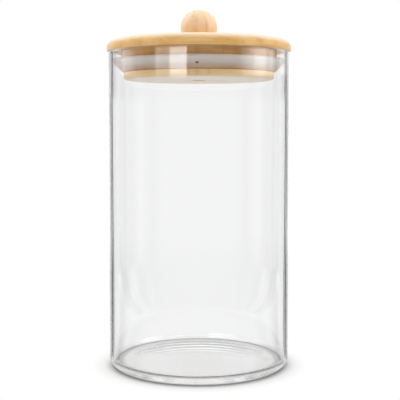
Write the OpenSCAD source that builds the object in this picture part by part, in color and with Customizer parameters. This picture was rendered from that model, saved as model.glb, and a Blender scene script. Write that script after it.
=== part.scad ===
// Storage jar: a straight glass cylinder closed by a turned bamboo lid.
// The lid's plug carries a soft ring seal, and a round wooden knob is screwed to its top.
// Millimetres, +Z up, origin at the centre of the base on the table.

/* [Glass jar] */
// Outer diameter of the glass
glass_d = 100; // [70:1:140]
// Height of the glass, from the table to the rim
glass_h = 173; // [90:1:260]
// Thickness of the side wall
wall = 2.8; // [2.4:0.1:4]
// Thickness of the floor
floor_t = 3.2; // [2.4:0.1:6]
// Radius of the rounded heel, outside
heel_r = 5; // [3:0.1:8]
// Radius between wall and floor, inside
inner_heel_r = 3.4; // [1.5:0.1:6]
// Height of the shallow push-up in the middle of the base
push_up = 1; // [0.4:0.1:1.6]
// Width of the flat ring that the jar stands on
foot_w = 3; // [1.5:0.5:6]
// Radius of the fire-polished rim, inside and outside
rim_r = 1; // [0.4:0.1:1.1]

/* [Lid disc] */
// How far the disc stands out past the glass
lid_overhang = 0.4; // [0:0.1:4]
// Thickness of the disc
lid_t = 6.2; // [5.8:0.1:12]
// Radius of the disc's upper edge
lid_top_r = 4.4; // [1:0.1:5]
// Radius of the disc's lower edge
lid_bottom_r = 0.9; // [0.3:0.1:1.1]

/* [Lid plug] */
// Height of the shoulder between the disc and the seal's groove
shoulder_h = 4.4; // [2:0.1:8]
// Gap between the shoulder and the glass
shoulder_gap = 4.6; // [2:0.1:6]
// Height of the seal's groove
groove_h = 6.9; // [5:0.1:10]
// Depth of the groove, measured in from the flange
groove_depth = 3; // [2:0.1:5]
// Height of the flange below the groove
flange_h = 3.9; // [2:0.1:8]
// Gap between the flange and the glass
flange_gap = 6; // [4:0.1:7]
// Radius of the plug's lower edge
plug_edge_r = 1.4; // [0.2:0.1:1.6]
// Radius of the edge between the flange and the groove
groove_edge_r = 0.4; // [0.2:0.1:0.6]

/* [Ring seal] */
// Clearance between the seal and the wood of its groove
seal_fit = 0.05; // [0:0.01:0.1]
// Running clearance between the lip and the glass
lip_gap = 0.1; // [0.02:0.01:0.3]
// How far the seal's body stands out past the flange
seal_proud = 0.5; // [0:0.1:1]
// Thickness of the flared lip at its root
lip_root_t = 2.2; // [1.4:0.1:3]
// Thickness of the lip at its top
lip_t = 1.2; // [0.6:0.1:1.6]
// Height of the lip's upright edge against the glass
lip_edge_h = 1.6; // [0.6:0.1:2.4]

/* [Knob and screw] */
// Diameter of the wooden ball
knob_d = 20; // [16:0.5:30]
// How much of the ball is cut off for its flat seat
knob_cut = 2.8; // [1.2:0.1:4]
// Diameter of the screw's shank
screw_d = 4; // [3:0.1:5]
// Diameter of the screw's countersunk head
head_d = 8; // [7:0.1:9]
// Length of the screw's point
point_l = 4; // [2:0.5:6]
// How deep the screw reaches into the knob
screw_grip = 10; // [6:0.5:11]
// Depth of the counterbore above the screw's head
head_sunk = 5; // [1:0.5:8]
// Clearance around the shank in the lid
shank_gap = 0.2; // [0.1:0.05:0.4]
// Clearance around the head in its counterbore
head_gap = 0.3; // [0.1:0.05:0.6]
// Clearance around the shank in the knob
bite_gap = 0.03; // [0:0.01:0.1]
// How far the knob's pilot hole goes on past the screw's tip
pilot_past = 1; // [0.5:0.5:3]
// Width of the head's cross slot
slot_w = 1.2; // [0.8:0.1:1.5]
// Depth of the head's cross slot
slot_deep = 1.2; // [0.6:0.1:1.4]

/* [Hidden] */
$fn = 96;

// Fineness of the very wide arc under the base, and a margin that carries cuts past a face
dome_fn = 1440;
past = 1;

// Glass
glass_r = glass_d / 2;
bore_r = glass_r - wall;
dome_edge_r = glass_r - heel_r - foot_w;
dome_r = (pow(dome_edge_r, 2) + pow(push_up, 2)) / (2 * push_up);

// Lid, downwards from the rim
lid_r = glass_r + lid_overhang;
lid_top_z = glass_h + lid_t;
shoulder_r = bore_r - shoulder_gap;
flange_r = bore_r - flange_gap;
groove_r = flange_r - groove_depth;
groove_top_z = glass_h - shoulder_h;
groove_bottom_z = groove_top_z - groove_h;
plug_bottom_z = groove_bottom_z - flange_h;

// Seal
seal_r = groove_r + seal_fit;
seal_body_r = flange_r + seal_proud;
seal_bottom_z = groove_bottom_z + seal_fit;
seal_top_z = groove_top_z - seal_fit;
lip_r = bore_r - lip_gap;

// Knob and screw; the head is a right-angled cone
knob_r = knob_d / 2;
knob_z = lid_top_z + knob_r - knob_cut;
screw_r = screw_d / 2;
head_r = head_d / 2;
head_h = head_r - screw_r;
shank_hole_r = screw_r + shank_gap;
head_bore_r = head_r + head_gap;
head_z = plug_bottom_z + head_sunk;
screw_tip_z = lid_top_z + screw_grip;
bite_r = screw_r + bite_gap;

// Quarter of a disc to the right of its centre; side is 1 for the upper quarter, -1 for the lower
module quarter_disc(r, side) {
    intersection() {
        circle(r = r);
        translate([0, side > 0 ? 0 : -r]) square(r);
    }
}

// Half section of a round slab: from the axis out to r and from z0 up to z1,
// with its outer corners rounded to the radii low and high
module slab_section(r, z0, z1, low, high) {
    translate([0, z0]) square([r - low, low]);
    translate([0, z0 + low]) square([r, z1 - z0 - low - high]);
    translate([0, z1 - high]) square([r - high, high]);
    translate([r - low, z0 + low]) quarter_disc(low, -1);
    translate([r - high, z1 - high]) quarter_disc(high, 1);
}

// Keeps the part of a section between the axis and r, and between z0 and z1
module right_half(r, z0, z1) {
    intersection() {
        children();
        translate([0, z0]) square([r, z1 - z0]);
    }
}

// What is taken off the sharp corner of the rim at r to round it;
// side is 1 for the outer edge and -1 for the inner one
module rim_corner(r, side) {
    difference() {
        translate([side > 0 ? r - rim_r : r - past, glass_h - rim_r]) square(rim_r + past);
        translate([r - side * rim_r, glass_h - rim_r]) circle(r = rim_r);
    }
}

module glass_section() {
    right_half(glass_r, 0, glass_h) difference() {
        slab_section(glass_r, 0, glass_h + 2 * heel_r, heel_r, heel_r);
        slab_section(bore_r, floor_t, glass_h + 2 * heel_r, inner_heel_r, inner_heel_r);
        translate([0, push_up - dome_r]) circle(r = dome_r, $fn = dome_fn);
        rim_corner(glass_r, 1);
        rim_corner(bore_r, -1);
    }
}

module glass_jar() {
    color([0.86, 0.92, 0.92, 0.35]) rotate_extrude() glass_section();
}

// The disc and its plug are turned from one laminated block
module lid() {
    color([0.87, 0.70, 0.46]) difference() {
        rotate_extrude() right_half(lid_r, plug_bottom_z, lid_top_z) {
            slab_section(lid_r, glass_h, lid_top_z, lid_bottom_r, lid_top_r);
            translate([0, groove_top_z]) square([shoulder_r, shoulder_h + lid_bottom_r]);
            translate([0, groove_bottom_z]) square([groove_r, groove_h + past]);
            slab_section(flange_r, plug_bottom_z, groove_bottom_z, plug_edge_r, groove_edge_r);
        }
        translate([0, 0, plug_bottom_z - past])
            cylinder(r = shank_hole_r, h = lid_top_z - plug_bottom_z + 2 * past);
        translate([0, 0, plug_bottom_z - past]) cylinder(r = head_bore_r, h = head_sunk + past);
        translate([0, 0, head_z]) cylinder(r1 = head_r, r2 = screw_r, h = head_h);
    }
}

// A band that fills the groove, with one lip that flares up and out to the glass
module ring_seal() {
    color([0.92, 0.91, 0.89, 0.8]) rotate_extrude() {
        translate([seal_r, seal_bottom_z]) square([seal_body_r - seal_r, seal_top_z - seal_bottom_z]);
        polygon([
            [seal_r, seal_bottom_z],
            [seal_body_r, seal_bottom_z],
            [lip_r, seal_top_z - lip_edge_h],
            [lip_r, seal_top_z],
            [lip_r - lip_t, seal_top_z],
            [seal_body_r, seal_bottom_z + lip_root_t],
            [seal_r, seal_bottom_z + lip_root_t]
        ]);
    }
}

module knob() {
    color([0.91, 0.75, 0.56]) difference() {
        translate([0, 0, knob_z]) sphere(r = knob_r);
        translate([-knob_d, -knob_d, lid_top_z - knob_d]) cube([2 * knob_d, 2 * knob_d, knob_d]);
        translate([0, 0, lid_top_z - past]) cylinder(r = bite_r, h = screw_grip + pilot_past + past);
    }
}

module knob_screw() {
    shank_z = head_z + head_h;
    color([0.72, 0.72, 0.70]) difference() {
        union() {
            translate([0, 0, head_z]) cylinder(r1 = head_r, r2 = screw_r, h = head_h);
            translate([0, 0, shank_z]) cylinder(r = screw_r, h = screw_tip_z - point_l - shank_z);
            translate([0, 0, screw_tip_z - point_l]) cylinder(r1 = screw_r, r2 = 0, h = point_l);
        }
        for (turn = [0, 90])
            rotate([0, 0, turn])
                translate([-head_r / 2, -slot_w / 2, head_z - past]) cube([head_r, slot_w, slot_deep + past]);
    }
}

glass_jar();
lid();
ring_seal();
knob();
knob_screw();
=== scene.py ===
import math

import bmesh
import bpy
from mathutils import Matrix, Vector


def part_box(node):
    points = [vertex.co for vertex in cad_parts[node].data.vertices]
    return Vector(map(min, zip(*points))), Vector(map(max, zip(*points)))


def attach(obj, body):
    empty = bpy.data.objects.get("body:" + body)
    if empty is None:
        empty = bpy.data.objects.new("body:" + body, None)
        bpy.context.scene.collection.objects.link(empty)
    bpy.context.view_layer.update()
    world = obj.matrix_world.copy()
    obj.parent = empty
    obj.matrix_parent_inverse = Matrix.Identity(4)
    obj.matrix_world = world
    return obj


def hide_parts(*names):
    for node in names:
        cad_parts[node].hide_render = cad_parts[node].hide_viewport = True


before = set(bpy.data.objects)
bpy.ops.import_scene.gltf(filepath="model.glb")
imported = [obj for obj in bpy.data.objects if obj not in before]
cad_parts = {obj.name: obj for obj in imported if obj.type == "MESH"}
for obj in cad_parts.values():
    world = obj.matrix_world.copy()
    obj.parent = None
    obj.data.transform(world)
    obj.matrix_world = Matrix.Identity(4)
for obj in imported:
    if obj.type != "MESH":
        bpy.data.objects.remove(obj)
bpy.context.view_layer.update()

MM = 0.001

# Sizes of the glass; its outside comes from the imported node
GLASS_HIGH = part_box("glass_jar")[1]
GLASS_R = GLASS_HIGH[0]
GLASS_H = GLASS_HIGH[2]
WALL = 2.8 * MM
FLOOR_T = 3.2 * MM
HEEL_R = 5 * MM
INNER_HEEL_R = 3.4 * MM
RIM_R = 1 * MM
FOOT_W = 3 * MM
PUSH_UP = 1 * MM
DOME_RINGS = 7

# Sizes of the lid, downwards from the top of its disc
LID_LOW, LID_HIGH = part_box("lid")
LID_R = LID_HIGH[0]
LID_TOP = LID_HIGH[2]
LID_BOTTOM = LID_LOW[2]
DISC_TOP_R = 4.4 * MM
DISC_LOW_R = 0.9 * MM
SHOULDER_R = 42.6 * MM
SHOULDER_H = 4.4 * MM
GROOVE_R = 38.2 * MM
GROOVE_H = 6.9 * MM
GROOVE_TOP = GLASS_H - SHOULDER_H
FLANGE_R = 41.2 * MM
PLUG_EDGE_R = 1.4 * MM
GROOVE_EDGE_R = 0.4 * MM
HEAD_BORE_R = 4.3 * MM
HEAD_BORE_H = 5 * MM
HEAD_SEAT_R = 4 * MM
HEAD_SEAT_H = 2 * MM
SHANK_BORE_R = 2.2 * MM

# Ring seal: its body in the groove and its flared lip
SEAL_LOW, SEAL_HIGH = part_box("ring_seal")
SEAL_IN_R = 38.25 * MM
SEAL_OUT_R = 41.7 * MM
LIP_ROOT_T = 2.2 * MM
LIP_T = 1.2 * MM
LIP_EDGE_H = 1.6 * MM
SEAL_ROUND = 0.35 * MM

# Knob
KNOB_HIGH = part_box("knob")[1]
KNOB_R = KNOB_HIGH[0]
KNOB_Z = KNOB_HIGH[2] - KNOB_R
KNOB_BITE_R = 2.03 * MM
KNOB_BITE_H = 11 * MM
KNOB_EDGE_R = 0.25 * MM

# Small rounding of the turned wood's corners, and the width of the rings that keep flat faces flat
CORNER_R = 0.25 * MM
HEM = 0.3 * MM

# Sides of a turned piece, and how near to its stated place a point is still found
SIDES = 192
NEAR = 0.05 * MM


# Modelling helpers, used as by hand: add, pick by place, shape, finish

def pick(kind, wanted):
    """Selects only the faces, edges or vertices of the open mesh that are wanted."""
    bpy.ops.mesh.select_mode(type=kind)
    bpy.ops.mesh.select_all(action="DESELECT")
    mesh = bpy.context.object.data
    shape = bmesh.from_edit_mesh(mesh)
    for item in {"FACE": shape.faces, "EDGE": shape.edges, "VERT": shape.verts}[kind]:
        if wanted(item):
            item.select_set(True)
    bmesh.update_edit_mesh(mesh)


def circle_at(radius, height):
    """A test for the edges that lie on one circle round the axis."""
    return lambda edge: all(
        abs(v.co.z - height) < NEAR and abs(v.co.xy.length - radius) < NEAR for v in edge.verts
    )


def cap_at(height, up):
    """A test for the flat face over the axis at a height, facing up (1) or down (-1)."""
    return lambda face: (
        abs(face.calc_center_median().z - height) < NEAR
        and face.normal.z * up > 0.99
        and face.calc_center_median().xy.length < NEAR
    )


def extrude_by(distance):
    bpy.ops.mesh.extrude_region_move(TRANSFORM_OT_translate={"value": (0, 0, distance)})


def extrude_to_radius(old, new):
    """Extrudes the picked cap in its own plane, out or in to another radius."""
    extrude_by(0)
    bpy.ops.transform.resize(value=(new / old, new / old, 1), center_override=(0, 0, 0))


def round_edges(rings, radius, steps):
    """Rounds the circles named by (radius, height)."""
    tests = [circle_at(*ring) for ring in rings]
    pick("EDGE", lambda edge: any(test(edge) for test in tests))
    bpy.ops.mesh.bevel(offset=radius, segments=steps, profile=0.5, affect="EDGES")


def cut_at(*heights):
    """Adds a ring of edges all round at each height, which keeps the shading of long faces true."""
    for height in heights:
        bpy.ops.mesh.select_mode(type="FACE")
        bpy.ops.mesh.select_all(action="SELECT")
        bpy.ops.mesh.bisect(plane_co=(0, 0, height), plane_no=(0, 0, 1))


def hem_caps(*caps):
    """Insets flat faces by a hair, so that the rounded edge beside them doesn't shade across them."""
    for height, up in caps:
        pick("FACE", cap_at(height, up))
        bpy.ops.mesh.inset(thickness=HEM)


def begin(name):
    """Names the new primitive, puts its place into its mesh and opens it for editing."""
    piece = bpy.context.object
    piece.name = piece.data.name = name
    bpy.ops.object.transform_apply(location=True, rotation=True, scale=True)
    bpy.ops.object.mode_set(mode="EDIT")
    return piece


def add_cylinder(name, radius, low, high):
    bpy.ops.object.select_all(action="DESELECT")
    bpy.ops.mesh.primitive_cylinder_add(
        vertices=SIDES, radius=radius, depth=high - low, location=(0, 0, (low + high) / 2)
    )
    return begin(name)


def close(piece, angle=28):
    """Closes the mesh, turns its faces outwards and smooths its rounds."""
    bpy.ops.mesh.select_all(action="SELECT")
    bpy.ops.mesh.remove_doubles(threshold=0.001 * MM)
    bpy.ops.mesh.normals_make_consistent(inside=False)
    bpy.ops.object.mode_set(mode="OBJECT")
    bpy.ops.object.shade_smooth_by_angle(angle=math.radians(angle))
    return piece


def make_glass_body():
    """One formed piece: a straight wall, a floor with a rounded heel, and a fire-polished rim."""
    glass = add_cylinder("glass_body", GLASS_R, 0, GLASS_H)
    bore_r = GLASS_R - WALL
    pick("FACE", cap_at(GLASS_H, 1))
    bpy.ops.mesh.inset(thickness=WALL)
    extrude_by(FLOOR_T - GLASS_H)
    round_edges([(bore_r, FLOOR_T)], INNER_HEEL_R, 10)
    round_edges([(GLASS_R, GLASS_H), (bore_r, GLASS_H)], RIM_R, 6)
    round_edges([(GLASS_R, 0)], HEEL_R, 12)
    push_up_base()
    hem_caps((FLOOR_T, 1))
    cut_at(HEEL_R + HEM, FLOOR_T + INNER_HEEL_R + HEM, GLASS_H - RIM_R - HEM)
    return close(glass)


def push_up_base():
    """A flat ring to stand on, and inside it a shallow arc that rises to the middle."""
    edge_r = GLASS_R - HEEL_R - FOOT_W
    arc_r = (edge_r ** 2 + PUSH_UP ** 2) / (2 * PUSH_UP)
    pick("FACE", cap_at(0, -1))
    bpy.ops.mesh.inset(thickness=FOOT_W)
    radius, rise = edge_r, 0
    for step in range(1, DOME_RINGS + 1):
        next_r = edge_r * (1 - step / (DOME_RINGS + 1))
        next_rise = PUSH_UP - arc_r + math.sqrt(arc_r ** 2 - next_r ** 2)
        bpy.ops.mesh.inset(thickness=radius - next_r)
        bpy.ops.transform.translate(value=(0, 0, next_rise - rise))
        radius, rise = next_r, next_rise
    bpy.ops.mesh.poke(offset=0)


def make_lid():
    """Disc, shoulder, groove and flange turned from one block, with the screw's stepped hole."""
    lid = add_cylinder("bamboo_lid", LID_R, GLASS_H, LID_TOP)
    groove_low = GROOVE_TOP - GROOVE_H
    pick("FACE", cap_at(GLASS_H, -1))
    bpy.ops.mesh.inset(thickness=LID_R - SHOULDER_R)
    extrude_by(-SHOULDER_H)
    bpy.ops.mesh.inset(thickness=SHOULDER_R - GROOVE_R)
    extrude_by(-GROOVE_H)
    extrude_to_radius(GROOVE_R, FLANGE_R)
    extrude_by(LID_BOTTOM - groove_low)
    bore_screw_hole()
    round_edges([(LID_R, LID_TOP)], DISC_TOP_R, 12)
    round_edges([(LID_R, GLASS_H)], DISC_LOW_R, 5)
    round_edges([(FLANGE_R, LID_BOTTOM)], PLUG_EDGE_R, 6)
    round_edges([(FLANGE_R, groove_low)], GROOVE_EDGE_R, 3)
    round_edges([(SHOULDER_R, GROOVE_TOP), (HEAD_BORE_R, LID_BOTTOM)], CORNER_R, 3)
    return close(lid)


def bore_screw_hole():
    """From the plug's picked underside: counterbore, cone for the head, and the shank's hole."""
    bpy.ops.mesh.inset(thickness=FLANGE_R - HEAD_BORE_R)
    extrude_by(HEAD_BORE_H)
    bpy.ops.mesh.inset(thickness=HEAD_BORE_R - HEAD_SEAT_R)
    extrude_by(HEAD_SEAT_H)
    bpy.ops.transform.resize(
        value=(SHANK_BORE_R / HEAD_SEAT_R, SHANK_BORE_R / HEAD_SEAT_R, 1), center_override=(0, 0, 0)
    )
    bpy.ops.mesh.delete(type="ONLY_FACE")
    pick("FACE", cap_at(LID_TOP, 1))
    bpy.ops.mesh.inset(thickness=LID_R - SHANK_BORE_R)
    bpy.ops.mesh.delete(type="ONLY_FACE")
    seat_top = LID_BOTTOM + HEAD_BORE_H + HEAD_SEAT_H
    ends = circle_at(SHANK_BORE_R, seat_top), circle_at(SHANK_BORE_R, LID_TOP)
    pick("EDGE", lambda edge: any(test(edge) for test in ends))
    bpy.ops.mesh.bridge_edge_loops()


def make_ring_seal():
    """The seal's section, drawn on an upright plane and spun round the axis."""
    low, high = SEAL_LOW[2], SEAL_HIGH[2]
    lip_r = SEAL_HIGH[0]
    bpy.ops.object.select_all(action="DESELECT")
    middle = (SEAL_IN_R + SEAL_OUT_R) / 2, 0, (low + high) / 2
    bpy.ops.mesh.primitive_plane_add(size=1, location=middle, rotation=(math.pi / 2, 0, 0))
    bpy.context.object.scale = (SEAL_OUT_R - SEAL_IN_R, high - low, 1)
    seal = begin("silicone_ring")
    bpy.ops.mesh.bisect(plane_co=(0, 0, low + LIP_ROOT_T), plane_no=(0, 0, 1))
    root_top = low + LIP_ROOT_T + NEAR
    pick("EDGE", lambda e: all(v.co.x > SEAL_OUT_R - NEAR and v.co.z < root_top for v in e.verts))
    bpy.ops.mesh.extrude_region_move(
        TRANSFORM_OT_translate={"value": (lip_r - SEAL_OUT_R, 0, high - LIP_EDGE_H - low)}
    )
    raised = high - LIP_EDGE_H + LIP_ROOT_T
    pick("VERT", lambda v: v.co.x > lip_r - NEAR and v.co.z > raised - NEAR)
    bpy.ops.transform.translate(value=(-LIP_T, 0, high - raised))
    bpy.ops.mesh.select_mode(type="FACE")
    bpy.ops.mesh.select_all(action="SELECT")
    bpy.ops.mesh.dissolve_faces()
    bpy.ops.mesh.delete(type="ONLY_FACE")
    pick("EDGE", lambda e: all(v.co.x > lip_r - LIP_T - NEAR for v in e.verts))
    bpy.ops.mesh.subdivide(number_cuts=1)
    pick("VERT", lambda v: lip_r - NEAR > v.co.x > lip_r - LIP_T + NEAR)
    bpy.ops.transform.translate(value=(LIP_T / 2, 0, LIP_EDGE_H / 2))
    bpy.ops.mesh.select_all(action="SELECT")
    bpy.ops.mesh.bevel(offset=SEAL_ROUND, segments=3, affect="VERTICES")
    bpy.ops.mesh.select_all(action="SELECT")
    bpy.ops.mesh.spin(steps=SIDES, angle=2 * math.pi, center=(0, 0, 0), axis=(0, 0, 1))
    return close(seal, 50)


def make_knob():
    """A turned ball with a flat seat and the blind hole that the screw bites into."""
    bpy.ops.object.select_all(action="DESELECT")
    bpy.ops.mesh.primitive_uv_sphere_add(
        segments=96, ring_count=64, radius=KNOB_R, location=(0, 0, KNOB_Z)
    )
    knob = begin("beech_knob")
    seat_r = math.sqrt(KNOB_R ** 2 - (KNOB_Z - LID_TOP) ** 2)
    bpy.ops.mesh.bisect(
        plane_co=(0, 0, LID_TOP), plane_no=(0, 0, 1), clear_inner=True, use_fill=True
    )
    pick("FACE", cap_at(LID_TOP, -1))
    bpy.ops.mesh.inset(thickness=seat_r - KNOB_BITE_R)
    extrude_by(KNOB_BITE_H)
    round_edges([(seat_r, LID_TOP)], KNOB_EDGE_R, 3)
    return close(knob)


glass_body = make_glass_body()
bamboo_lid = make_lid()
silicone_ring = make_ring_seal()
beech_knob = make_knob()


# Materials

def node(tree, kind, inputs=None, **settings):
    """Adds a node; an input that is another node's socket is linked, any other is set."""
    new = tree.nodes.new("ShaderNode" + kind)
    for name, value in settings.items():
        setattr(new, name, value)
    for name, value in (inputs or {}).items():
        if isinstance(value, bpy.types.NodeSocket):
            tree.links.new(value, new.inputs[name])
        else:
            new.inputs[name].default_value = value
    return new


def maths(tree, operation, first, second=0.0, third=0.0):
    return node(tree, "Math", {0: first, 1: second, 2: third}, operation=operation).outputs[0]


def ramp(tree, factor, stops):
    """A colour ramp from pairs of position and colour, linear in between."""
    new = node(tree, "ValToRGB", {"Fac": factor})
    points = new.color_ramp.elements
    points.remove(points[1])
    points[0].position = stops[0][0]
    points[0].color = (*stops[0][1], 1)
    for place, colour in stops[1:]:
        points.new(place).color = (*colour, 1)
    return new.outputs["Color"]


def mix(tree, factor, first, second, blend="MIX"):
    """Mixes two colours; whichever input is another node's socket is linked."""
    new = node(tree, "Mix", data_type="RGBA", blend_type=blend)
    for socket, value in zip((new.inputs[0], new.inputs[6], new.inputs[7]), (factor, first, second)):
        if isinstance(value, bpy.types.NodeSocket):
            tree.links.new(value, socket)
        else:
            socket.default_value = value
    return new.outputs[2]


def shade(red, green, blue):
    """A colour as it is read off a screen, 0 to 255, turned into Blender's linear values."""
    return tuple(
        (c / 255 / 12.92) if c <= 10 else ((c / 255 + 0.055) / 1.055) ** 2.4 for c in (red, green, blue)
    )


def new_material(name, piece):
    material = bpy.data.materials.new(name)
    material.use_nodes = True
    material.node_tree.nodes.clear()
    piece.data.materials.clear()
    piece.data.materials.append(material)
    return material.node_tree


def output(tree, shader):
    tree.links.new(shader.outputs[0], node(tree, "OutputMaterial").inputs["Surface"])


def object_place(tree):
    """The place on the piece, in metres."""
    return node(tree, "TexCoord").outputs["Object"]


def distance_from_axis(tree):
    place = object_place(tree)
    across = node(tree, "VectorMath", {0: place, 1: (1, 1, 0)}, operation="MULTIPLY").outputs[0]
    return node(tree, "VectorMath", {0: across}, operation="LENGTH").outputs["Value"]


def noise(tree, per_metre, detail):
    """Noise on the piece, with so many spots per metre along each axis."""
    place = node(tree, "Mapping", {"Vector": object_place(tree), "Scale": per_metre}).outputs[0]
    spots = {"Vector": place, "Scale": 1.0, "Detail": detail, "Roughness": 0.55}
    return node(tree, "TexNoise", spots).outputs["Fac"]


def smooth_step(tree, value, first, last, start=0.0, end=1.0):
    """Goes smoothly from start to end while the value goes from first to last."""
    ends = {"Value": value, "From Min": first, "From Max": last, "To Min": start, "To Max": end}
    return node(tree, "MapRange", ends, interpolation_type="SMOOTHSTEP").outputs[0]


WHITE = 1, 1, 1, 1


def grey(tone):
    return tone, tone, tone, 1


def tint(tree, share, colour, target):
    """Moves a colour by a share from 0 to 1 towards another, which is given as read off a screen."""
    return mix(tree, share, colour, (*shade(*target), 1))


def shader_mix(tree, share, first, second):
    return node(tree, "MixShader", {0: share, 1: first.outputs[0], 2: second.outputs[0]})


# The laminated bamboo: strips side by side across Y, grain along X; the shift places their joints
STRIP_W = 5.6 * MM
GLUE_W = 0.12 * MM
STRIP_SHIFT = 40.3
BAMBOO_STOPS = (0.1, (188, 132, 64)), (0.45, (226, 174, 98)), (0.9, (244, 204, 140))
# Painted highlight on the disc's rounded top edge
EDGE_HIGHLIGHT_COLOUR = 255, 236, 208
# Painted light: the plug lighter than the disc, as if more lit
PLUG_PAINTED_LIGHT_COLOUR = 252, 218, 162
# Painted reflection: the plug's underside pale and greyish, as white seen at a grazing angle
UNDERSIDE_REFLECTION_COLOUR = 226, 214, 198
KNUCKLE_COLOUR = 176, 124, 66
GLUE_COLOUR = 160, 114, 66
KNUCKLES_PER_METRE = 5.2

# Beech, and how deep the grain of both woods is
BEECH_STOPS = (0.15, (236, 186, 140)), (0.5, (252, 222, 182)), (0.85, (255, 240, 218))
GRAIN_DEPTH = 0.05 * MM


def screen_ramp(tree, factor, stops):
    """A colour ramp whose colours are given as they are read off a screen."""
    return ramp(tree, factor, [(place, shade(*colour)) for place, colour in stops])


def finish_wood(tree, colour, fibres, height):
    """Sanded wood with a satin gloss: the fibres change its roughness and raise its grain."""
    bump = node(tree, "Bump", {"Strength": 0.2, "Distance": GRAIN_DEPTH, "Height": height})
    output(tree, node(tree, "BsdfPrincipled", {
        "Base Color": colour, "Roughness": maths(tree, "MULTIPLY_ADD", fibres, 0.16, 0.3),
        "Normal": bump.outputs[0], "Specular IOR Level": 0.5,
        "Sheen Weight": 0.3, "Sheen Roughness": 0.3,
    }))


def finish_bamboo(piece):
    """Laminated bamboo: each strip has its own tone; a highlight is painted on the disc's top edge, the
    plug is painted lighter as if more lit, and its underside gets a painted reflection.
    """
    tree = new_material("laminated_bamboo", piece)
    axes = node(tree, "SeparateXYZ", {0: object_place(tree)}).outputs
    across = maths(tree, "MULTIPLY_ADD", axes["Y"], 1 / STRIP_W, STRIP_SHIFT)
    strip = maths(tree, "FLOOR", across)
    chance = node(tree, "TexWhiteNoise", {"W": strip}, noise_dimensions="1D").outputs["Value"]
    fibres = noise(tree, (22, 1100, 1100), 4)
    bands = noise(tree, (12, 240, 330), 2)
    clouds = noise(tree, (40, 60, 90), 2)
    tone = maths(tree, "MULTIPLY_ADD", chance, 0.2, -0.42)
    for pattern, weight in ((fibres, 0.6), (bands, 0.65), (clouds, 0.45)):
        tone = maths(tree, "MULTIPLY_ADD", pattern, weight, tone)
    colour = screen_ramp(tree, tone, BAMBOO_STOPS)
    # Painted highlight on the rounded top edge
    edge = painted_highlight_edge(tree, axes)
    # Painted light: the plug is made lighter as if more lit
    plug = smooth_step(tree, axes["Z"], GROOVE_TOP, GROOVE_TOP - GROOVE_H)
    # Painted reflection: the plug's underside turns pale and greyish
    underside = smooth_step(tree, axes["Z"], LID_BOTTOM + PLUG_EDGE_R, LID_BOTTOM)
    for where, painted_colour in ((edge, EDGE_HIGHLIGHT_COLOUR), (plug, PLUG_PAINTED_LIGHT_COLOUR), (underside, UNDERSIDE_REFLECTION_COLOUR)):
        colour = tint(tree, maths(tree, "MULTIPLY", where, 0.7), colour, painted_colour)
    colour = tint(tree, knuckles(tree, axes["X"], chance), colour, KNUCKLE_COLOUR)
    wood = strip_middle(tree, across)
    colour = tint(tree, maths(tree, "MULTIPLY_ADD", wood, -0.2, 0.2), colour, GLUE_COLOUR)
    finish_wood(tree, colour, fibres, maths(tree, "MULTIPLY_ADD", fibres, 0.6, wood))


def painted_highlight_edge(tree, axes):
    """The disc's rounded upper edge, where a highlight is painted: 1 there, 0 elsewhere."""
    high = smooth_step(tree, axes["Z"], LID_TOP - 0.8 * DISC_TOP_R, LID_TOP - 0.1 * DISC_TOP_R)
    radius = distance_from_axis(tree)
    far_out = smooth_step(tree, radius, LID_R - 1.8 * DISC_TOP_R, LID_R - 0.3 * DISC_TOP_R)
    return maths(tree, "MULTIPLY", high, far_out)


def strip_middle(tree, across):
    """1 on a strip, falling to 0 at the fine glue lines on both sides of it."""
    from_middle = maths(tree, "ABSOLUTE", maths(tree, "SUBTRACT", maths(tree, "FRACT", across), 0.5))
    to_joint = maths(tree, "SUBTRACT", 0.5, from_middle)
    return maths(tree, "MINIMUM", maths(tree, "MULTIPLY", to_joint, STRIP_W / GLUE_W), 1.0)


def knuckles(tree, along, chance):
    """Where a knuckle of the cane crosses a strip: a quarter on the knuckle, 0 elsewhere."""
    shift = maths(tree, "MULTIPLY", chance, 7.0)
    shifted = maths(tree, "MULTIPLY_ADD", along, KNUCKLES_PER_METRE, shift)
    away = maths(tree, "ABSOLUTE", maths(tree, "SUBTRACT", maths(tree, "FRACT", shifted), 0.5))
    clear = maths(tree, "SMOOTH_MIN", maths(tree, "MULTIPLY", away, 90.0), 1.0, 0.6)
    return maths(tree, "MULTIPLY_ADD", clear, -0.25, 0.25)


def finish_beech(piece):
    """Pale beech with its grain upright."""
    tree = new_material("pale_beech", piece)
    fibres = noise(tree, (950, 950, 28), 4)
    rings = noise(tree, (300, 300, 16), 2)
    tone = maths(tree, "MULTIPLY_ADD", fibres, 0.75, maths(tree, "MULTIPLY", rings, 0.8))
    colour = screen_ramp(tree, maths(tree, "SUBTRACT", tone, 0.28), BEECH_STOPS)
    finish_wood(tree, colour, fibres, fibres)


# The seal's moulding mark: a small brown dot on its front
MARK_PLACE = -0.9 * MM, -SEAL_OUT_R, SEAL_LOW[2] + 2.75 * MM
MARK_R = 1.3 * MM
MARK_SHAPE = 1, 0.1, 1.6
MARK_COLOUR = 96, 62, 40
# The seal's colours from foot to top, with painted shade and wood-bounce at the darker foot, where the
# wood also shows through
SILICONE_AND_SHADE_STOPS = (
    (0.0, (172, 136, 102)), (0.2, (202, 176, 154)), (0.42, (220, 206, 194)),
    (0.6, (218, 210, 202)), (0.85, (222, 216, 212)), (1.0, (216, 198, 184)),
)
# How clear the end of the seal's lip is, and over what width it gets there
LIP_CLEAR = 0.3
LIP_CLEAR_W = 2.5 * MM


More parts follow.
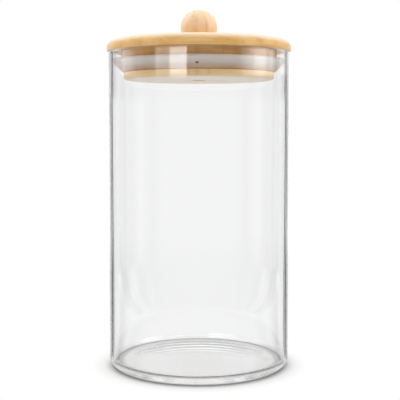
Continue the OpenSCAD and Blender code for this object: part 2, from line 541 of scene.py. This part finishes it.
def finish_silicone(piece):
    """Milky silicone: painted shade and wood-bounce darken its foot, where the wood also shows through;
    its thin lip is partly clear.
    """
    tree = new_material("milky_silicone", piece)
    height = node(tree, "SeparateXYZ", {0: object_place(tree)}).outputs["Z"]
    clouds = noise(tree, (110, 110, 260), 3)
    above_foot = maths(tree, "SUBTRACT", height, SEAL_LOW[2])
    level = maths(tree, "DIVIDE", above_foot, SEAL_HIGH[2] - SEAL_LOW[2])
    level = maths(tree, "MULTIPLY_ADD", maths(tree, "SUBTRACT", clouds, 0.5), 0.25, level)
    # Painted shade and wood-bounce at the seal's foot come from this ramp
    colour = tint(tree, moulding_mark(tree), screen_ramp(tree, level, SILICONE_AND_SHADE_STOPS), MARK_COLOUR)
    milky = node(tree, "BsdfPrincipled", {
        "Base Color": colour, "Roughness": maths(tree, "MULTIPLY_ADD", clouds, 0.15, 0.38),
        "Specular IOR Level": 0.35, "Subsurface Weight": 0.7, "Subsurface Scale": 3 * MM,
        "Subsurface Radius": (1.0, 0.9, 0.8),
    })
    lip = smooth_step(tree, distance_from_axis(tree), SEAL_OUT_R, SEAL_OUT_R + LIP_CLEAR_W)
    clear = node(tree, "BsdfTransparent", {"Color": WHITE})
    output(tree, shader_mix(tree, maths(tree, "MULTIPLY", lip, LIP_CLEAR), milky, clear))


def moulding_mark(tree):
    """1 on the small dot, 0 elsewhere."""
    place = object_place(tree)
    offset = node(tree, "VectorMath", {0: place, 1: MARK_PLACE}, operation="SUBTRACT").outputs[0]
    oval = node(tree, "VectorMath", {0: offset, 1: MARK_SHAPE}, operation="MULTIPLY").outputs[0]
    away = node(tree, "VectorMath", {0: oval}, operation="LENGTH").outputs["Value"]
    return smooth_step(tree, away, MARK_R, 0.3 * MARK_R)


STEEL_STOPS = (0.2, (186, 188, 190)), (0.8, (214, 216, 218))


def finish_steel(piece):
    """Zinc plate with faint streaks along the screw."""
    tree = new_material("zinc_plate", piece)
    streaks = noise(tree, (900, 900, 120), 3)
    output(tree, node(tree, "BsdfPrincipled", {
        "Base Color": screen_ramp(tree, streaks, STEEL_STOPS), "Metallic": 1.0,
        "Roughness": maths(tree, "MULTIPLY_ADD", streaks, 0.2, 0.22),
    }))


GLASS_TINT = 0.996, 0.997, 0.997, 1
GLASS_IOR = 1.47
# How much lamp light passes one surface of the glass, and one of its thick foot
CLEAR_PASS = 0.965
FOOT_PASS = 0.68
# Painted glow: where a ray is mirrored inside the wall past this many times, the glass glows an even
# grey
GUIDED_PAST = 9.5
PAINTED_GLOW_TONE = 0.75


def finish_glass(piece):
    """Clear borosilicate with faint drawn streaks; lamps shine through it, less so through its foot."""
    tree = new_material("clear_glass", piece)
    streaks = noise(tree, (160, 160, 3), 2)
    bump = node(tree, "Bump", {"Strength": 0.02, "Distance": 0.1 * MM, "Height": streaks})
    clear = node(tree, "BsdfGlass", {
        "Color": GLASS_TINT, "Roughness": 0.0, "IOR": GLASS_IOR, "Normal": bump.outputs[0],
    })
    passed = mix(tree, glass_foot(tree), grey(CLEAR_PASS), grey(FOOT_PASS))
    lamp_light = node(tree, "BsdfTransparent", {"Color": passed})
    path = node(tree, "LightPath").outputs
    from_lamps = maths(tree, "MAXIMUM", path["Is Shadow Ray"], path["Is Diffuse Ray"])
    surface = shader_mix(tree, from_lamps, clear, lamp_light)
    # Painted glow: an even grey light where a ray was mirrored many times inside the wall
    painted_glow = node(tree, "Emission", {"Color": grey(PAINTED_GLOW_TONE), "Strength": 1.0})
    far_inside = maths(tree, "GREATER_THAN", path["Glossy Depth"], GUIDED_PAST)
    output(tree, shader_mix(tree, far_inside, surface, painted_glow))


def glass_foot(tree):
    """1 in the thick ring where the wall meets the floor, 0 elsewhere."""
    ring_r = GLASS_R - HEEL_R - FOOT_W
    height = node(tree, "SeparateXYZ", {0: object_place(tree)}).outputs["Z"]
    outside = smooth_step(tree, distance_from_axis(tree), ring_r, ring_r + 2 * MM)
    low_down = smooth_step(tree, height, FLOOR_T + INNER_HEEL_R, FLOOR_T)
    return maths(tree, "MULTIPLY", outside, low_down)


finish_glass(glass_body)
finish_bamboo(bamboo_lid)
finish_silicone(silicone_ring)
finish_beech(beech_knob)
finish_steel(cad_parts["knob_screw"])

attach(glass_body, "jar")
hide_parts("glass_jar")
for piece, stands_for, finish in (
    (bamboo_lid, "lid", "bamboo"),
    (silicone_ring, "ring_seal", "silicone"),
    (beech_knob, "knob", "beech"),
):
    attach(piece, "closure")
    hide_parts(stands_for)


# Studio: pale floor, white surroundings, soft boxes

# The paper: its radius, how much light it sends back, and how much it glows where it is seen
FLOOR_R = 0.3
PAPER = 0.78
LIFT = 0.14
# Distances from the axis over which the paper fades: as the glass mirrors it, and as it is seen
MIRRORED_FADE = 0.051, 0.056
STRAIGHT_FADE = 0.048, 0.062
# The narrow shade under the rounded heel: share of light that is left, by distance from the axis
CONTACT_SHADE = [(0.0452, 1), (0.0467, 0.36), (0.0477, 0.38), (0.049, 0.65), (0.051, 0.88), (0.053, 1)]
CONTACT_END = 0.06

# What a mirrored ray finds round the jar: brightness by the angle in degrees from straight behind it.
# A white backdrop, narrow dark gaps and pale panels at its sides, then the dim room.
UPPER_TONES = [
    (0, 1), (10, 1.2), (13, 0.6), (16, 1.4), (20, 1.3), (22, 0.8), (23.3, 0), (26.7, 0), (28, 1.5),
    (29.2, 1.5), (31, 0), (32.8, 0), (34.2, 1.3), (35.4, 0), (40.2, 0), (42, 1.5), (44, 0), (48, 0.2),
    (55, 0.65), (60, 0.85), (66, 0.3), (72, 0.1), (86, 0.05), (92, 0.25), (100, 0.45), (110, 0.02),
    (125, 0.2), (140, 0.25),
]
LEVEL_TONES = [
    (0, 1), (10, 0.9), (13, 1.4), (17, 1.5), (19, 1.1), (21, 0.35), (22.5, 0), (23.5, 0.1), (25, 1.25),
    (26, 1.3), (28, 0), (30, 0), (31.5, 0.9), (33.2, 0), (36.2, 0), (37.8, 1.05), (40, 0.6), (43, 0.85),
    (50, 0.35), (57, 1.05), (61, 0.95), (65, 0.4), (71, 0.35), (76, 0), (96, 0.75), (101, 0.7),
    (110, 0.05), (130, 0.4),
]
LOW_TONES = [
    (0, 1), (10, 1.05), (13.5, 1.35), (17, 0.3), (20.5, 0.7), (22.3, 0.2), (23.2, 0), (25, 1.25),
    (26, 1.1), (27, 0), (33, 0), (34, 1.25), (35.4, 0), (38.2, 0), (40, 1.5), (42, 0.4), (44, 1.15),
    (47, 0.35), (55.5, 0.9), (60, 0.6), (65, 0.05), (80, 0), (86, 0.33), (95, 0.35), (110, 0),
    (120, 0.16), (140, 0.2),
]
# A colour ramp holds values up to 1, so it stores the tones as shares of this one
TOP_TONE = 1.6
# Where a ray leaves the glass after it ran inside the wall: beside the axis and in front of it.
# The directions of the floor's panels are measured from there.
WALL_EXIT = 0.049, 0.009

# Soft boxes as the glass mirrors them, above the height of the plug: brightness by azimuth in degrees,
# 0 towards the camera and positive to the right
BOX_TONES = [
    (-118, 0), (-110, 2), (-97, 1.6), (-88, 0.8), (-78, 0),
    (-56, 0), (-54.5, 2.6), (-51, 2.6), (-50, 1.9), (-37, 1.9), (-36, 5.8), (-15.5, 5.8), (-14.5, 0),
    (50, 0), (58, 1.6), (66, 2.6), (72, 3.4), (76, 4.8), (90, 4.8), (94, 2.6), (101, 2.4), (107, 2.4),
    (109, 0.3), (120, 0.3), (128, 1.3), (140, 0.25), (165, 0.2), (170, 0),
]
# The same for the soft boxes
BOX_TOP_TONE = 6

# Degrees above the level between which one part of what is mirrored gives way to the next
BOX_FOOT = 3.05, 3.55
LEVEL_TO_UPPER = 1.4, 2.4
LEVEL_TO_LOW = -6, -9.5
SHARP_TO_OVERHEAD = 30, 50
GLOSS_TO_OVERHEAD = 15, 45
OVERHEAD_TONE = 2

# The room as rough surfaces see it, from the camera's side to the back, and what lies below the table
ROOM_SPAN = -0.5, 0.7
FRONT_FILL = 0.2
BACK_FILL = 0.9
LOW_TO_ROOM = -12, 2
LOW_FILL = 0.9

# Soft boxes: name, azimuth in degrees as above, width in metres, radiance. They share their heights.
SOFT_BOXES = ("key_box", -25.5, 0.45, 2.6), ("side_box", 82, 0.35, 6), ("back_left_box", -115, 0.5, 4)
BOX_LOW = 0.22
BOX_HIGH = 1.0
BOX_DISTANCE = 1.2
OVERHEAD_H = 1.3

# The photo's camera: its place, how many degrees it looks down, and its lens in millimetres
CAMERA_PLACE = 0.0006, -0.503, 0.1315
CAMERA_DIP = 4.52
LENS = 81.6


def tones(tree, share, stops, top):
    """A brightness up to top, by a share from 0 to 1, from pairs of share and brightness."""
    level = ramp(tree, share, [(place, [tone / top] * 3) for place, tone in stops])
    return maths(tree, "MULTIPLY", level, top)


def tones_from_behind(tree, angle, stops):
    """Brightness by the angle from straight behind the jar, the same on both sides."""
    share = maths(tree, "DIVIDE", maths(tree, "ABSOLUTE", angle), math.pi)
    return tones(tree, share, [(degrees / 180, tone) for degrees, tone in stops], TOP_TONE)


def make_floor():
    """Paper that keeps the shadow near the jar and fades to the white of the background."""
    bpy.ops.object.select_all(action="DESELECT")
    bpy.ops.mesh.primitive_circle_add(vertices=96, radius=FLOOR_R, fill_type="NGON")
    floor = bpy.context.object
    floor.name = "studio_floor"
    tree = new_material("pale_floor", floor)
    path = node(tree, "LightPath").outputs
    seen = maths(tree, "SUBTRACT", 1.0, path["Is Diffuse Ray"])
    mirrored = maths(tree, "MULTIPLY", seen, maths(tree, "GREATER_THAN", path["Glossy Depth"], 0.5))
    out = distance_from_axis(tree)
    far_tone = mix(tree, mirrored, WHITE, floor_panels(tree))
    backdrop = node(tree, "Emission", {"Color": far_tone, "Strength": 1.0})
    seen_fade = smooth_step(tree, out, *STRAIGHT_FADE)
    fade = mix(tree, mirrored, seen_fade, smooth_step(tree, out, *MIRRORED_FADE))
    far = maths(tree, "MULTIPLY", seen, fade)
    output(tree, shader_mix(tree, far, shaded_paper(tree, out, seen), backdrop))


def shaded_paper(tree, out, seen):
    """Paper with the narrow shade under the heel, lifted a little where it is seen."""
    stops = [(radius / CONTACT_END, [left] * 3) for radius, left in CONTACT_SHADE]
    contact = ramp(tree, maths(tree, "DIVIDE", out, CONTACT_END), stops)
    paper = node(tree, "BsdfDiffuse", {"Color": mix(tree, 1.0, contact, grey(PAPER), "MULTIPLY")})
    lift = node(tree, "Emission", {"Color": contact, "Strength": maths(tree, "MULTIPLY", seen, LIFT)})
    return node(tree, "AddShader", {0: paper.outputs[0], 1: lift.outputs[0]})


def floor_panels(tree):
    """The low tones as a mirrored ray finds them on the floor, by direction from the wall's exit."""
    axes = node(tree, "SeparateXYZ", {0: object_place(tree)}).outputs
    beside = maths(tree, "SUBTRACT", maths(tree, "ABSOLUTE", axes["X"]), WALL_EXIT[0])
    beside = maths(tree, "MAXIMUM", beside, 0.0)
    behind = maths(tree, "ADD", axes["Y"], WALL_EXIT[1])
    return tones_from_behind(tree, maths(tree, "ARCTAN2", beside, behind), LOW_TONES)


def make_world():
    """White where it is seen, also through the glass; a studio where it is mirrored or scattered."""
    world = bpy.data.worlds.new("white_studio")
    world.use_nodes = True
    bpy.context.scene.world = world
    tree = world.node_tree
    tree.nodes.clear()
    path = node(tree, "LightPath").outputs
    axes = node(tree, "SeparateXYZ", {0: node(tree, "TexCoord").outputs["Generated"]}).outputs
    rise = maths(tree, "MULTIPLY", maths(tree, "ARCSINE", axes["Z"]), 180 / math.pi)
    boxes = mirrored_boxes(tree, axes, rise, path["Glossy Depth"])
    sharp = sharp_images(tree, axes, rise, boxes)
    # Soft gloss on wood and silicone, and scattered light
    overhead = grey(OVERHEAD_TONE)
    room = smooth_step(tree, axes["Y"], *ROOM_SPAN, FRONT_FILL, BACK_FILL)
    gloss = maths(tree, "MAXIMUM", room, boxes)
    gloss = mix(tree, smooth_step(tree, rise, *GLOSS_TO_OVERHEAD), gloss, overhead)
    scattered = mix(tree, smooth_step(tree, rise, *LOW_TO_ROOM), grey(LOW_FILL), room)
    mirrored = maths(tree, "GREATER_THAN", path["Glossy Depth"], 0.5)
    mirror_image = mix(tree, path["Is Singular Ray"], gloss, sharp)
    tone = mix(tree, path["Is Diffuse Ray"], mix(tree, mirrored, WHITE, mirror_image), scattered)
    sky = node(tree, "Background", {"Color": tone, "Strength": 1.0})
    tree.links.new(sky.outputs[0], node(tree, "OutputWorld").inputs["Surface"])


def mirrored_boxes(tree, axes, rise, mirrorings):
    """The soft boxes' mirror images; they stand above the plug's height and aren't mirrored twice."""
    azimuth = maths(tree, "ARCTAN2", axes["X"], maths(tree, "MULTIPLY", axes["Y"], -1.0))
    share = maths(tree, "MULTIPLY_ADD", azimuth, 0.5 / math.pi, 0.5)
    stops = [((degrees + 180) / 360, tone) for degrees, tone in BOX_TONES]
    boxes = tones(tree, share, stops, BOX_TOP_TONE)
    boxes = maths(tree, "MULTIPLY", boxes, smooth_step(tree, rise, *BOX_FOOT))
    return maths(tree, "MULTIPLY", boxes, maths(tree, "LESS_THAN", mirrorings, 1.5))


def sharp_images(tree, axes, rise, boxes):
    """What the clear glass mirrors: the upper, level and low tones, and the soft boxes over them."""
    from_behind = maths(tree, "ARCTAN2", axes["X"], axes["Y"])
    upper, level, low = (
        tones_from_behind(tree, from_behind, stops) for stops in (UPPER_TONES, LEVEL_TONES, LOW_TONES)
    )
    sharp = mix(tree, smooth_step(tree, rise, *LEVEL_TO_UPPER), level, upper)
    sharp = mix(tree, smooth_step(tree, rise, *LEVEL_TO_LOW), sharp, low)
    sharp = maths(tree, "MAXIMUM", sharp, boxes)
    return mix(tree, smooth_step(tree, rise, *SHARP_TO_OVERHEAD), sharp, grey(OVERHEAD_TONE))


def add_lamp(name, width, height, radiance):
    """A rectangular soft lamp that lights rough surfaces; the world holds its mirror image."""
    lamp = bpy.data.lights.new(name, "AREA")
    lamp.shape = "RECTANGLE"
    lamp.size, lamp.size_y = width, height
    lamp.energy = radiance * width * height * math.pi
    box = bpy.data.objects.new(name, lamp)
    box.visible_camera = box.visible_glossy = box.visible_transmission = False
    bpy.context.scene.collection.objects.link(box)
    return box


def add_softbox(name, azimuth, width, radiance):
    """An upright soft box that faces the jar, by its azimuth, 0 towards the camera."""
    side = math.radians(azimuth)
    box = add_lamp(name, width, BOX_HIGH - BOX_LOW, radiance)
    middle = (BOX_LOW + BOX_HIGH) / 2
    box.location = BOX_DISTANCE * math.sin(side), -BOX_DISTANCE * math.cos(side), middle
    box.rotation_euler = math.pi / 2, 0, side


def make_camera():
    lens = bpy.data.cameras.new("camera")
    lens.sensor_width = 36
    lens.lens = LENS
    lens.clip_start = 0.01
    camera = bpy.data.objects.new("camera", lens)
    camera.location = CAMERA_PLACE
    camera.rotation_euler = math.radians(90 - CAMERA_DIP), 0, 0
    bpy.context.scene.collection.objects.link(camera)
    bpy.context.scene.camera = camera


make_floor()
make_world()
make_camera()
for soft_box in SOFT_BOXES:
    add_softbox(*soft_box)
add_lamp("overhead", 1.0, 1.0, 2.0).location = 0, 0, OVERHEAD_H

scene = bpy.context.scene
scene.view_settings.view_transform = "Standard"
# A ray is mirrored many times in the glass foot before it leaves, so it needs high limits
scene.cycles.max_bounces = 32
scene.cycles.glossy_bounces = 24
scene.cycles.transmission_bounces = 24
scene.cycles.transparent_max_bounces = 24
